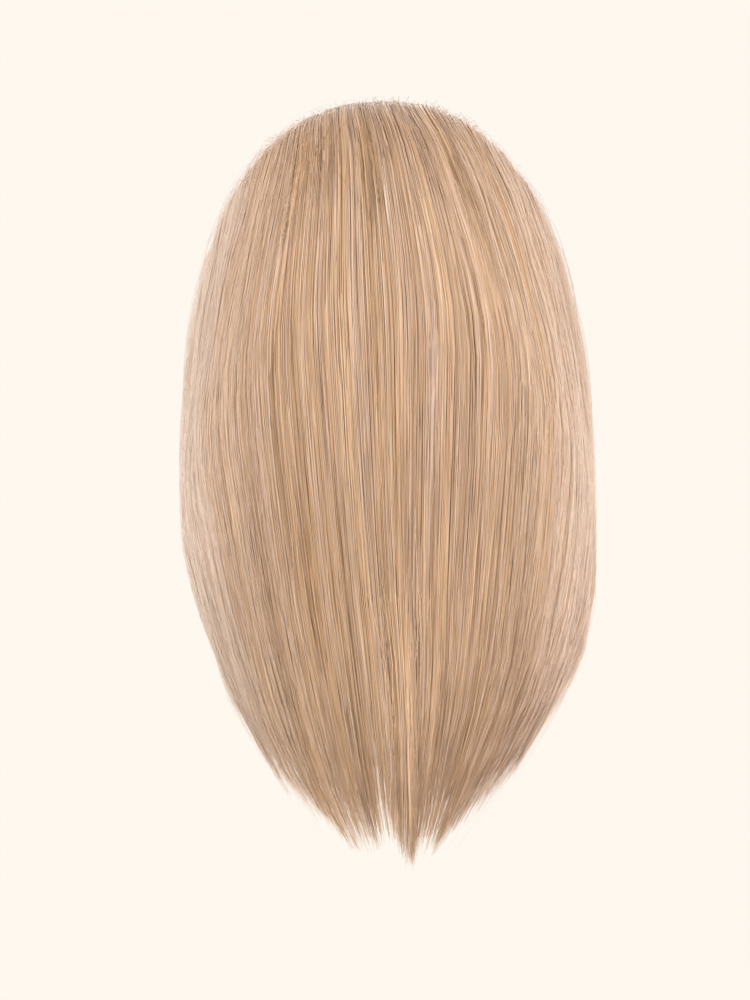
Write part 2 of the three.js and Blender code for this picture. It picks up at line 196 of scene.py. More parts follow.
def table(columns, rows):
    return {column: [row[i] for row in rows] for i, column in enumerate(columns)}


def smoothstep(x, low, high):
    share = np.clip((x - low) / (high - low), 0, 1)
    return share * share * (3 - 2 * share)


def mix(a, b, share):
    return a + (b - a) * share


CURVE_STEPS = np.linspace(0, 1, 1301)


def curve_through(values):
    """A Catmull-Rom curve through values at equal steps, sampled at CURVE_STEPS."""
    values = np.asarray(values, float)
    first = 2 * values[0] - values[1]
    last = 2 * values[-1] - values[-2]
    points = np.concatenate([[first], values, [last]])
    place = CURVE_STEPS * (len(values) - 1)
    span = np.minimum(place.astype(int), len(values) - 2)
    t = place - span
    before, start, end, after = (points[span + k] for k in range(4))
    leave = (end - before) / 2
    arrive = (after - start) / 2
    return (
        (2 * t**3 - 3 * t**2 + 1) * start + (t**3 - 2 * t**2 + t) * leave
        + (3 * t**2 - 2 * t**3) * end + (t**3 - t**2) * arrive
    )


def section_curves():
    rows = {name: np.array(values) for name, values in table(SECTION_COLUMNS, SECTION_ROWS).items()}

    def ahead(share):
        return share * np.where(share > 0, FRONT_REACH, BACK_REACH)

    def height(level):
        above = mix(CROWN_LIFT, -CROWN_HEIGHT, level)
        below = mix(-CROWN_HEIGHT, -TIP_DROP, level - 1)
        return np.where(level < 1, above, below)

    placed = {
        "left_x": -mix(BASE_HALF_WIDTH, HAIR_HALF_WIDTH, rows["left"]),
        "right_x": mix(BASE_HALF_WIDTH, HAIR_HALF_WIDTH, rows["right"]),
        "edge_y": ahead(rows["edge_ahead"]),
        "edge_z": height(rows["edge_level"]),
        "ridge_x": rows["shift"] * HAIR_HALF_WIDTH,
        "ridge_y": ahead(rows["ridge_ahead"]),
        "ridge_z": height(rows["ridge_level"]),
    }
    kept = {name: rows[name] for name in ("left_full", "right_full", "wall", "relief")}
    return {name: curve_through(values) for name, values in {**placed, **kept}.items()}


CURVES = section_curves()


def at(name, along):
    return np.interp(along, CURVE_STEPS, CURVES[name])


def hair_point(across, along):
    """The smooth outer surface, in millimetres: across from -1 to 1, along from 0 to 1."""
    left = across < 0
    power = 2 / np.where(left, at("left_full", along), at("right_full", along))
    angle = np.abs(across) * np.pi / 2
    out = np.sin(angle) ** power
    up = np.maximum(np.cos(angle), 0) ** power
    edge_x = np.where(left, at("left_x", along), at("right_x", along))
    return np.stack([
        mix(at("ridge_x", along), edge_x, out),
        mix(at("edge_y", along), at("ridge_y", along), up),
        mix(at("edge_z", along), at("ridge_z", along), up),
    ], axis=-1)


def unit(vectors):
    return vectors / np.maximum(np.linalg.norm(vectors, axis=-1, keepdims=True), 1e-9)


def hair_frame(across, along, step=0.004):
    """The surface's direction from left to right and its outward normal."""
    rightwards = unit(
        hair_point(np.minimum(across + step, 1), along) - hair_point(np.maximum(across - step, -1), along)
    )
    down = hair_point(across, np.minimum(along + step, 1)) - hair_point(across, np.maximum(along - step, 0))
    return rightwards, unit(np.cross(down, rightwards))


LOCK_EDGES = np.concatenate([[0], np.cumsum(LOCK_WIDTHS)]) / LOCK_WIDTHS.sum() * 2 - 1
PANEL_EDGES = LOCK_EDGES[::LOCKS_PER_PANEL]


def lock_place(across):
    """Which lock a place is on, and its share of the way across that lock."""
    lock = np.clip(np.searchsorted(LOCK_EDGES, across, side="right") - 1, 0, len(LOCK_WIDTHS) - 1)
    share = (across - LOCK_EDGES[lock]) / (LOCK_EDGES[lock + 1] - LOCK_EDGES[lock])
    return lock, np.clip(share, 0, 1)


def lock_rise(across):
    """Height of the locks' rounded backs: 0 in a groove, up to 1 on a lock."""
    lock, share = lock_place(across)
    return LOCK_RISES[lock] * np.sin(np.pi * share) ** LOCK_ROUNDNESS


def hem(across):
    """How far along the hair reaches: a little further in the middle of a lock than between two."""
    lock, share = lock_place(across)
    near = np.where(share < 0.5, lock - 1, lock + 1)
    near = np.where((near < 0) | (near >= len(LOCK_REACHES)), lock, near)
    groove = np.minimum(LOCK_REACHES[lock], LOCK_REACHES[near]) - NOTCH_DEPTH
    locks = mix(groove, LOCK_REACHES[lock], np.sin(np.pi * share))
    return mix(1, locks, HEM_LOCKS) * np.interp(across, HEM_PLACES, HEM_SHARES)


def relief(across, along):
    return LOCK_RELIEF * at("relief", along) * (lock_rise(across) - 0.5)


def hair_wall(across, along):
    full = HAIR_WALL * at("wall", along) * (1 - EDGE_THINNING * across**2)
    return mix(full, TIP_WALL, smoothstep(along, TAPER_START, 1))


UNDER_STEPS = np.linspace(UNDER_END, 0, 171)
UNDER_EARLIEST = 0.02


def over_cap(x, y, gap):
    """Whether a place is over the cap in plan, or within a gap of it."""
    wide = np.abs(x / (BASE_HALF_WIDTH + gap)) ** BASE_CORNER
    long = np.abs(y / (BASE_HALF_LENGTH + gap)) ** BASE_CORNER
    return wide + long < 1


def under_start(across):
    """Where the under layer starts along the hair: where it comes clear of the cap's edge, in plan."""
    grid_across, grid = np.meshgrid(across, UNDER_STEPS, indexing="ij")
    _, outward = hair_frame(grid_across, grid)
    depth = hair_wall(grid_across, grid) + UNDER_GAP + UNDER_WALL
    place = hair_point(grid_across, grid) - outward * depth[..., None]
    over = over_cap(place[..., 0], place[..., 1], UNDER_ROOT_GAP)
    return np.where(over.any(axis=1), UNDER_STEPS[np.argmax(over, axis=1)], UNDER_EARLIEST)


def cap_underside(x, y):
    """The height of the dome that the cap's underside lies on, at places in plan."""
    wide = np.abs(x / HEAD_HALF_BREADTH) ** HEAD_FULLNESS
    long = np.abs(y / HEAD_HALF_LENGTH) ** HEAD_FULLNESS
    return CROWN_HEIGHT * (np.maximum(1 - wide - long, 0) ** (1 / HEAD_FULLNESS) - 1)


def clear_of_cap(points):
    """Points of the hair, raised where they would be in the cap or under it."""
    x, y, z = np.moveaxis(points, -1, 0)
    half = 0.5
    slope_x = cap_underside(x + half, y) - cap_underside(x - half, y)
    slope_y = cap_underside(x, y + half) - cap_underside(x, y - half)
    top = cap_underside(x, y) + (BASE_THICKNESS + CLEARANCE) * np.sqrt(1 + slope_x**2 + slope_y**2)
    return np.stack([x, y, np.where(over_cap(x, y, CLEARANCE), np.maximum(z, top), z)], axis=-1)


def under_hem(across):
    return UNDER_END - UNDER_SIDE_RISE * (across / UNDER_SPREAD) ** 2


def add_mesh(name, points, faces, uv, material):
    """A mesh object from points in millimetres, quads or triangles, and a map coordinate for each corner."""
    mesh = bpy.data.meshes.new(name)
    sizes = np.concatenate([np.full(len(group), group.shape[1]) for group in faces])
    corners = np.concatenate([group.ravel() for group in faces])
    mesh.vertices.add(len(points))
    mesh.vertices.foreach_set("co", (points * MM).ravel())
    mesh.loops.add(len(corners))
    mesh.loops.foreach_set("vertex_index", corners)
    mesh.polygons.add(len(sizes))
    mesh.polygons.foreach_set("loop_start", np.concatenate([[0], np.cumsum(sizes)[:-1]]))
    mesh.polygons.foreach_set("loop_total", sizes)
    mesh.polygons.foreach_set("use_smooth", np.ones(len(sizes), bool))
    mesh.uv_layers.new(name="OFBake").data.foreach_set("uv", uv.ravel())
    mesh.update(calc_edges=True)
    mesh.materials.append(material)
    piece = bpy.data.objects.new(name, mesh)
    bpy.context.collection.objects.link(piece)
    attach(piece, "root")
    return piece


# Core: the opaque mass of hair under the strands

# The cores' columns, where they end, as shares of the hem's place and of the width, and how far the last of
# the shared rows stays from that end
CORE_COLUMNS = 96
CORE_END = 0.895
CORE_EDGE = 0.985
LAST_ROW_GAP = 0.02

# How deep the cores lie under the smooth outer surface, how far they stay from the wall's inner face, how
# thick they are at least, and how high their ridges are, in millimetres; and where the ridges are full
CORE_SINK = 2.6
CORE_INSET = 1.4
LEAST_WALL = 0.4
RIDGE_HEIGHT = 0.35
RIDGE_RISE = 0.1

# The under layer's core: its wall in millimetres, how wide it is, its rows, and how much shorter it ends than
# its strands, in the middle and besides at its sides
UNDER_CORE_WALL = 1.6
UNDER_CORE_SPREAD = 0.66
UNDER_ROWS = 24
UNDER_CORE_SHORTER = 0.055
UNDER_CORE_CORNER = 0.12


def grid_faces(index):
    return np.stack([index[:-1, :-1], index[:-1, 1:], index[1:, 1:], index[1:, :-1]], axis=-1).reshape(-1, 4)


def core_mesh(name, grid, along, depth, wall, material):
    """A closed wall of hair with fine ridges that run down it. The grid holds its places across, one column
    of places along for each; depth is how far it lies under the smooth outer surface."""
    rng = np.random.default_rng([SEED, len(name), len(along)])
    _, outward = hair_frame(grid, along)
    surface = hair_point(grid, along)
    ridge = RIDGE_HEIGHT * rng.normal(size=CORE_COLUMNS)[:, None] * smoothstep(along, 0, RIDGE_RISE)
    outer = surface + outward * (ridge - depth)[..., None]
    inner = clear_of_cap(surface - outward * (depth + np.maximum(wall, LEAST_WALL))[..., None])
    points = np.concatenate([outer.reshape(-1, 3), inner.reshape(-1, 3)])
    index = np.arange(along.size).reshape(along.shape)
    ring = np.concatenate([index[:, 0], index[-1, 1:], index[-2::-1, -1], index[0, -2:0:-1]])
    rim = np.stack([ring, np.roll(ring, -1), np.roll(ring, -1) + index.size, ring + index.size], axis=1)
    place = np.stack([np.tile(((grid + 1) / 2).ravel(), 2), np.tile(along.ravel(), 2)], axis=1)
    faces = np.concatenate([grid_faces(index), grid_faces(index + index.size)[:, ::-1], rim])
    return add_mesh(name, points, [faces], place[faces.ravel()], material)


# Strands

# A tube's sides, and its thickness as a share of its width
TUBE_SIDES = 3
TUBE_FLATNESS = 0.8

# Where the strands open out over the crown, how closely the outermost keep to the side edge, and where the
# tips draw together
FAN_START = 0.28
FAN_END = 0.62
EDGE_POWER = 7
TIP_MIDDLE = -0.05

# How far the strands are drawn in towards the middle at the tips, left and right: gently from DRAW_START on,
# and sharply near the tips, each with its exponent
DRAW_START = 0.55
DRAW_LEFT = [(0.15, 1.2), (0.36, 8)]
DRAW_RIGHT = [(0.22, 1.5), (0.4, 6)]

# Where strands that hang at these places come from on the crown, from -1 at the left edge to 1 at the right
HANGS = np.array([-1.5, -1, -0.65, -0.3, -0.17, 0, 0.2, 0.36, 0.6, 1, 1.5])
ROOTS = np.array([-1, -0.64, -0.37, -0.22, -0.15, -0.06, 0.03, 0.1, 0.26, 0.6, 1])

# How far from its two ends a strand has its first and last bend, at the least
FIRST_BEND_GAP = 0.01
LAST_BEND_GAP = 0.005

# How much further down the hair the painted sheen and shade lie on the sides, how many times as much on the
# right one, and how much low on the right, which paints the hair lighter there, with their ranges across and
# along
SIDE_DROP = 0.1
RIGHT_SIDE_DROP = 1.4
SIDE_ACROSS = (0.35, 0.75)
SIDE_ALONG = (0.3, 0.45)
LOW_RIGHT_DROP = 0.15
LOW_RIGHT_ACROSS = (0.3, 0.6)
LOW_RIGHT_ALONG = (0.65, 0.8)

# How a strand lies: how deep its root is sunk in the core and over what share of it, unless it starts at the
# hairline, how deep it dips and how often it sways. Past the last section the surface goes on straight.
ROOT_SINK = 2.2
ROOT_SHARE = 0.1
AT_HAIRLINE = 0.03
DIP_DEPTH = 0.3
SWAYS = 2.2
LAST_STEP = 0.02

# A strand's width along itself: at its root, where it is full, where it narrows again and how much it loses
ROOT_WIDTH = 0.25
FULL_WIDTH_FROM = 0.15
NARROWS_FROM = 0.72
TIP_LOSS = 0.88

# How locks and strands differ from each other: places across, length, tone, how golden they are, how far a
# lock pinches and wanders, how far a strand drifts and dips, and where its painted sheen and shade lie
LOCK_SCATTER = 0.3
STRAND_SCATTER = 1.1
LOCK_LENGTHS = (0.75, 1)
STRAND_SHORTER = 0.26
TONE_MIDDLE = 0.52
LOCK_TONES = 0.085
STRAND_TONES = 0.075
GOLDEN_SCATTER = 0.25
GOLDEN_FROM = 0.5
PINCHES = (0.0, 0.45)
PINCH_ALONG = (0.35, 0.97)
LOCK_TURNS = (0.6, 2.2)
LOCK_BEND = 0.003
WANDER_ALONG = (0.1, 0.8)
STRAND_DRIFT = 0.012
STRAND_DIPS = (1.2, 3)
SHADE_SCATTER = 0.03

# Strands that start near the hairline start earlier out to the sides: by what share, and the exponent.
# Those of the under layer start a little past its own start.
SIDE_STARTS = (0.6, 1.5)
UNDER_STRAND_START = 0.01

# Towards the front edges the strands are shorter and more ashen, and on the left and the right edges paler,
# a painted light, much more on the left than on the right
EDGE_ACROSS = (0.5, 0.95)
EDGE_SHORTER = 0.06
EDGE_ASHEN = 0.7
EDGE_PAINTED_LIGHT = (0.22, 0.04)


def flow(own, along, fan):
    """Where a strand that hangs at a place across runs at each place along: it opens out from the parting on
    the crown, runs down beside the side edge if it is led there, and is drawn in towards the tips."""
    squeezed = own / (1 + np.abs(own) ** EDGE_POWER) ** (1 / EDGE_POWER)
    spread = mix(np.interp(own, HANGS, ROOTS), squeezed, smoothstep(along, FAN_START, FAN_END))
    across = mix(own, spread, fan)
    done = np.clip((along - DRAW_START) / (1 - DRAW_START), 0, 1)
    left, right = (sum(share * done**power for share, power in side) for side in (DRAW_LEFT, DRAW_RIGHT))
    return TIP_MIDDLE + (across - TIP_MIDDLE) * (1 - np.where(across < TIP_MIDDLE, left, right))


def pick(strands, chosen):
    return {name: values[chosen] for name, values in strands.items()}


def as_columns(each):
    return {name: values[:, None] for name, values in each.items()}


def in_groups(each):
    """Splits strands into groups that pass the same bends, and gives the places along of their points."""
    first = np.searchsorted(BENDS, each["start"] + FIRST_BEND_GAP)
    last = np.maximum(np.searchsorted(BENDS, each["end"] - LAST_BEND_GAP), first) - 1
    for low, high in sorted(set(zip(first.tolist(), last.tolist()))):
        group = pick(each, (first == low) & (last == high))
        count = len(group["start"])
        between = np.broadcast_to(BENDS[low:high + 1], (count, high + 1 - low))
        yield group, np.concatenate([group["start"][:, None], between, group["end"][:, None]], axis=1)


# Painted sheen and shade: how far down the hair their bands are moved on the sides and low on the right
def painted_sheen_and_shade_drop(across, along):
    sides = smoothstep(np.abs(across), *SIDE_ACROSS) * smoothstep(along, *SIDE_ALONG)
    sides = sides * np.where(across < 0, 1, RIGHT_SIDE_DROP)
    low_right = smoothstep(across, *LOW_RIGHT_ACROSS) * smoothstep(along, *LOW_RIGHT_ALONG)
    return SIDE_DROP * sides + LOW_RIGHT_DROP * low_right


def lay(each, along, across):
    """The paths of strands over the locks, at given places across and along."""
    column = as_columns(each)
    across = np.clip(across, -1, 1)
    beyond = np.maximum(along - 1, 0)[..., None]
    last_step = hair_point(across, 1.0) - hair_point(across, 1 - LAST_STEP)
    surface = hair_point(across, along) + beyond * last_step / LAST_STEP
    rightwards, outward = hair_frame(across, along)
    done = (along - column["start"]) / (column["end"] - column["start"])
    buried = ROOT_SINK * (1 - smoothstep(done, 0, ROOT_SHARE)) * (column["start"] > AT_HAIRLINE)
    dips = DIP_DEPTH * np.sin(2 * np.pi * column["dips"] * along + 2 * column["phase"])
    inner = column["inner"]
    height = relief(across, along) * (1 - inner) + column["lift"] + dips - buried * (1 - inner)
    height = height - inner * (hair_wall(across, along) + column["deeper"])
    aside = column["waves"] * np.sin(2 * np.pi * SWAYS * along + column["phase"])
    widening = ROOT_WIDTH + (1 - ROOT_WIDTH) * smoothstep(done, 0, FULL_WIDTH_FROM)
    taper = widening * (1 - TIP_LOSS * smoothstep(done, NARROWS_FROM, 1))
    return {
        "paths": clear_of_cap(surface + outward * height[..., None] + rightwards * aside[..., None]),
        "outward": outward * (1 - 2 * inner[..., None]),
        "width": column["width"] * taper,
        "tone": each["tone"],
        "golden": each["golden"],
        "middle": each["middle"],
        # Where along the hair the strand takes its painted sheen and shade
        "along": along + column["fade"] - painted_sheen_and_shade_drop(across, along),
    }


def grow(rng, layer):
    """One layer of strands, gathered in locks, as groups of paths."""
    count, locks = layer["count"], layer["locks"]
    under = layer["name"] == UNDER_LAYER[0]
    share = (np.arange(locks) + 0.5) / locks * 2 - 1 + rng.normal(0, LOCK_SCATTER / locks, locks)
    near, far = layer["across"]
    centre = np.sign(share) * mix(near, far, np.clip(np.abs(share), 0, 1))
    member = rng.integers(0, locks, count)
    middle = centre[member]
    start = rng.uniform(*layer["start"], count)
    if layer["start"][0] == 0:
        earlier, power = SIDE_STARTS
        start = start * (1 - earlier * np.abs(middle) ** power)
    low, high = layer["end"]
    length = rng.uniform(*LOCK_LENGTHS, locks)[member] - rng.exponential(STRAND_SHORTER, count)
    end = mix(low, high, np.clip(length, 0, 1))
    if under:
        start = start + under_start(middle) + UNDER_STRAND_START
        end = end * under_hem(middle)
    else:
        end = np.minimum(end * hem(flow(middle, 1.0, layer["fan"])), LONGEST)
    edge = smoothstep(np.abs(middle), *EDGE_ACROSS)
    end = end - EDGE_SHORTER * edge * rng.random(count)
    tone = TONE_MIDDLE + LOCK_TONES * rng.normal(size=locks)[member]
    # The layer's tone: painted shade for the deeper and inner layers, painted light for the fringe
    tone = tone + STRAND_TONES * rng.normal(size=count) + layer["tone"]
    golden = rng.random(locks)[member] + rng.normal(0, GOLDEN_SCATTER, count) - EDGE_ASHEN * edge
    each = {
        "middle": middle,
        "offset": rng.normal(0, STRAND_SCATTER / locks, count) * (far - near),
        "start": start,
        "end": end,
        "inner": np.full(count, float(layer["inner"])),
        "deeper": np.full(count, UNDER_GAP + UNDER_WALL if under else 0.0),
        "pinch": rng.uniform(*PINCHES, locks)[member],
        "turns": rng.uniform(*LOCK_TURNS, locks)[member],
        "turn_phase": rng.uniform(0, 2 * np.pi, locks)[member],
        "bend": layer["bend"] * rng.normal(0, LOCK_BEND, locks)[member],
        "drift": rng.normal(0, STRAND_DRIFT, count),
        "lift": rng.uniform(*layer["lift"], count),
        "width": rng.uniform(*layer["width"], count),
        "waves": np.full(count, layer["waves"]),
        "phase": rng.uniform(0, 2 * np.pi, count),
        # Painted light: the strands towards the side edges are lighter, more on the left
        "tone": tone + np.where(middle < 0, *EDGE_PAINTED_LIGHT) * edge,
        "dips": rng.uniform(*STRAND_DIPS, count),
        "golden": (golden > GOLDEN_FROM).astype(float),
        "fade": rng.normal(0, SHADE_SCATTER, count),
    }
    groups = []
    for group, along in in_groups(each):
        column = as_columns(group)
        gathered = column["offset"] * (1 - column["pinch"] * smoothstep(along, *PINCH_ALONG))
        own = np.clip(column["middle"] + gathered, -far, far)
        swing = np.sin(2 * np.pi * column["turns"] * along + column["turn_phase"])
        wander = column["bend"] * swing * smoothstep(along, *WANDER_ALONG)
        drift = column["drift"] * (along - column["start"])
        groups.append(lay(group, along, flow(own, along, layer["fan"]) + wander + drift))
    return groups


# The locks that stand out: how much earlier or later their strands start and end, as shares of their length,
# the last place where they end, how their tones differ, ranges of lift and width and the sway in millimetres,
# how much they pinch half way, and the place along the hair whose painted sheen they have, at its lightest
ACCENT_STARTS = (-0.1, 0.3)
ACCENT_ENDS = (-0.15, 0.3)
ACCENT_LAST = 0.995
ACCENT_TONES = 0.06
ACCENT_LIFT = (-0.6, -0.1)
ACCENT_WIDTH = (0.24, 0.4)
ACCENT_WAVES = 0.2
ACCENT_PINCH = 0.5
FULL_LIGHT = 0.55


def grow_accents(rng):
    """The locks that stand out, as strands just over the rest."""
    rows = table(ACCENT_COLUMNS, ACCENT_ROWS)
    repeat = np.repeat(np.arange(len(ACCENT_ROWS)), rows["count"])
    each = {name: np.array(values, float)[repeat] for name, values in rows.items()}
    count = len(repeat)
    length = each["end"] - each["start"]
    each.update({
        "middle": each["across"],
        "start": each["start"] + length * rng.uniform(*ACCENT_STARTS, count),
        "end": np.minimum(each["end"] - length * rng.uniform(*ACCENT_ENDS, count), ACCENT_LAST),
        "inner": np.zeros(count),
        "deeper": np.zeros(count),
        "tone": each["tone"] + ACCENT_TONES * rng.normal(size=count),
        "offset": each["spread"] * rng.normal(size=count),
        "lift": rng.uniform(*ACCENT_LIFT, count),
        "width": rng.uniform(*ACCENT_WIDTH, count),
        "waves": np.full(count, ACCENT_WAVES),
        "phase": rng.uniform(0, 2 * np.pi, count),
        "dips": np.ones(count),
        "fade": np.zeros(count),
    })
    groups = []
    for group, along in in_groups(each):
        column = as_columns(group)
        done = (along - column["start"]) / (column["end"] - column["start"])
        gathered = column["offset"] * (1 - ACCENT_PINCH * np.sin(np.pi * np.clip(done, 0, 1)))
        strands = lay(group, along, flow(column["across"] + gathered, along, 1))
        groups.append({**strands, "along": np.full(along.shape, FULL_LIGHT)})
    return groups


# Loose hairs: how many, where they hang, where they start along the hair, how long they are, how high they
# stand and how far they curl, the last two in millimetres
FLYAWAY_COLUMNS = ["count", "across", "start", "length", "height", "curl"]
FLYAWAY_ROWS = [
    [60, (-0.35, 0.3), (0.22, 0.31), (0.04, 0.09), (0.8, 2.8), (0.5, 2.2)],
    [100, (-1.2, -0.3), (0.2, 0.5), (0.08, 0.2), (0.6, 2.0), (0.4, 1.4)],
    [100, (0.3, 1.2), (0.2, 0.5), (0.08, 0.2), (0.6, 2.0), (0.4, 1.4)],
    [120, (-1.3, 1.3), (0.5, 0.8), (0.12, 0.2), (0.6, 2.4), (0.4, 1.6)],
    [170, (-1.05, -0.5), (0.42, 0.86), (0.08, 0.2), (0.8, 3.6), (0.5, 2.2)],
    [170, (0.5, 1.05), (0.42, 0.86), (0.08, 0.2), (0.8, 3.6), (0.5, 2.2)],
]

# Their points, how many times they curl round, which part of an arch they rise in, how deep the root is sunk
# and over what share, their width in millimetres and what the tip loses of it, and their tones
FLYAWAY_POINTS = 10
FLYAWAY_TURNS = (0.4, 1.3)
FLYAWAY_ARCH = (0.05, 0.9)
FLYAWAY_SINK = 1.2
FLYAWAY_ROOT = 0.2
FLYAWAY_WIDTH = (0.1, 0.17)
FLYAWAY_TIP_LOSS = 0.8
FLYAWAY_TONES = (0.6, 0.9)


def grow_flyaways(rng):
    groups = []
    for row in FLYAWAY_ROWS:
        layer = dict(zip(FLYAWAY_COLUMNS, row))
        count = layer["count"]
        done = np.broadcast_to(np.linspace(0, 1, FLYAWAY_POINTS), (count, FLYAWAY_POINTS))
        middle, start, length, height, curl = (
            rng.uniform(*layer[name], count)[:, None] for name in FLYAWAY_COLUMNS[1:]
        )
        along = start + length * done
        across = np.clip(flow(middle, along, 1), -1, 1)
        rightwards, outward = hair_frame(across, along)
        turns = rng.uniform(*FLYAWAY_TURNS, (count, 1))
        turn = 2 * np.pi * turns * done + rng.uniform(0, 2 * np.pi, (count, 1))
        sunk = FLYAWAY_SINK * (1 - smoothstep(done, 0, FLYAWAY_ROOT))
        rise = height * np.sin(np.pi * mix(*FLYAWAY_ARCH, done)) - sunk
        sideways = curl * (np.sin(turn) - np.sin(turn[:, :1]))
        width = rng.uniform(*FLYAWAY_WIDTH, (count, 1))
        groups.append({
            "paths": hair_point(across, along) + outward * rise[..., None] + rightwards * sideways[..., None],
            "outward": outward,
            "width": width * (1 - FLYAWAY_TIP_LOSS * done**3),
            "tone": rng.uniform(*FLYAWAY_TONES, count),
            "golden": np.zeros(count),
            "middle": middle[:, 0],
            "along": np.full(along.shape, FULL_LIGHT),
        })
    return groups


# The points of a strand at the hairline: how deep under the surface, as a share of the wall, how far ahead of
# it in millimetres, and its width as a share. The first three turn up round the front edge, the rest lie on
# the first bends of the hair, and the last is where the strand ends. HAIRLINE_STEP, a step along the hair,
# shows which way is ahead.
HAIRLINE_COLUMNS = ["under", "ahead", "width"]
HAIRLINE_ROWS = [
    [0.95, 0, 0.5],
    [0.6, 1.3, 0.9],
    [0.2, 1.2, 1],
    [0, 0.4, 1],
    [0, 0, 1],
    [0, 0, 0.9],
    [0, 0, 0.15],
]
HAIRLINE_TURNED = 3
HAIRLINE_STEP = 0.01

# How many there are, ranges of where they end, of how high they lie and of how wide they are, how far they
# sink towards their ends, and their middle tone and its spread
HAIRLINE_STRANDS = 860
HAIRLINE_ENDS = (0.1, 0.22)
HAIRLINE_LIFT = (-1.0, -0.2)
HAIRLINE_WIDTH = (0.5, 0.85)
HAIRLINE_SINK = 0.9
HAIRLINE_TONE = 0.5
HAIRLINE_TONES = 0.12


def grow_hairline(rng):
    """Short strands that come up from the front edge of the cap and roll back over the hairline."""
    count = HAIRLINE_STRANDS
    point = {name: np.array(row, float) for name, row in table(HAIRLINE_COLUMNS, HAIRLINE_ROWS).items()}
    middle = (np.arange(count) + rng.random(count)) / count * 2 - 1
    along = np.zeros((count, len(HAIRLINE_ROWS)))
    along[:, HAIRLINE_TURNED:] = BENDS[:len(HAIRLINE_ROWS) - HAIRLINE_TURNED]
    along[:, -1] = rng.uniform(*HAIRLINE_ENDS, count)
    across = np.broadcast_to(middle[:, None], along.shape)
    _, outward = hair_frame(across, along)
    surface = hair_point(across, along)
    ahead = unit(surface - hair_point(across, along + HAIRLINE_STEP))
    lift = rng.uniform(*HAIRLINE_LIFT, count)[:, None] + np.linspace(0, -HAIRLINE_SINK, len(HAIRLINE_ROWS))
    height = lift * (point["under"] == 0) - point["under"] * hair_wall(across, along)
    tone = HAIRLINE_TONE + HAIRLINE_TONES * rng.normal(size=count)
    return [{
        "paths": surface + outward * height[..., None] + ahead * point["ahead"][None, :, None],
        "outward": outward,
        "width": rng.uniform(*HAIRLINE_WIDTH, count)[:, None] * point["width"],
        "tone": tone,
        "golden": (rng.random(count) > GOLDEN_FROM).astype(float),
        "middle": middle,
        "along": along,
    }]


# The strands' map: how wide each family of tones is on it, how far the golden one is from the ashen one, how
# far a tube's sides differ, and how far all keep from the map's edge
TONES_PER_FAMILY = 0.48
GOLDEN_SHIFT = 0.5
SIDE_TONES = 0.012
MAP_MARGIN = 0.01


def tubes(strands, first_vertex):
    """Closed three-sided tubes along paths. On the map a strand is a narrow column: its place sideways is its
    tone, and its place upwards is how far along the hair it is."""
    paths, width = strands["paths"], strands["width"]
    count, points, _ = paths.shape
    tangent = unit(np.gradient(paths, axis=1))
    side = unit(np.cross(tangent, strands["outward"]))
    front = np.cross(side, tangent)
    turn = 2 * np.pi * np.arange(TUBE_SIDES) / TUBE_SIDES
    ring = (
        np.cos(turn)[:, None] * front[:, :, None, :] * TUBE_FLATNESS
        + np.sin(turn)[:, None] * side[:, :, None, :]
    )
    vertices = paths[:, :, None, :] + ring * (width / 2)[:, :, None, None]
    index = np.arange(count * points * TUBE_SIDES).reshape(count, points, TUBE_SIDES)
    near, far = index[:, :-1], index[:, 1:]
    quads = np.stack([near, np.roll(near, -1, axis=2), np.roll(far, -1, axis=2), far], axis=-1).reshape(-1, 4)
    caps = np.concatenate([index[:, 0, ::-1], index[:, -1]])
    tone = strands["golden"] * GOLDEN_SHIFT + MAP_MARGIN + TONES_PER_FAMILY * np.clip(strands["tone"], 0, 1)
    column = np.broadcast_to(tone[:, None, None] + np.array([-1, 0, 1]) * SIDE_TONES, index.shape)
    along = np.clip(strands["along"], MAP_MARGIN, 1 - MAP_MARGIN)[:, :, None]
    place = np.stack([column, np.broadcast_to(along, index.shape)], axis=-1)
    return vertices.reshape(-1, 3), quads + first_vertex, caps + first_vertex, place.reshape(-1, 2)


def strand_mesh(name, groups, material):
    parts = []
    total = 0
    for strands in groups:
        if len(strands["middle"]):
            parts.append(tubes(strands, total))
            total += len(parts[-1][0])
    points, quads, caps, places = (np.concatenate(part) for part in zip(*parts))
    corners = np.concatenate([quads.ravel(), caps.ravel()])
    return add_mesh(name, points, [quads, caps], places[corners], material)


# Materials

def srgb(red, green, blue):
    def linear(value):
        share = value / 255
        return share / 12.92 if share <= 0.04045 else ((share + 0.055) / 1.055) ** 2.4
    return (linear(red), linear(green), linear(blue), 1)


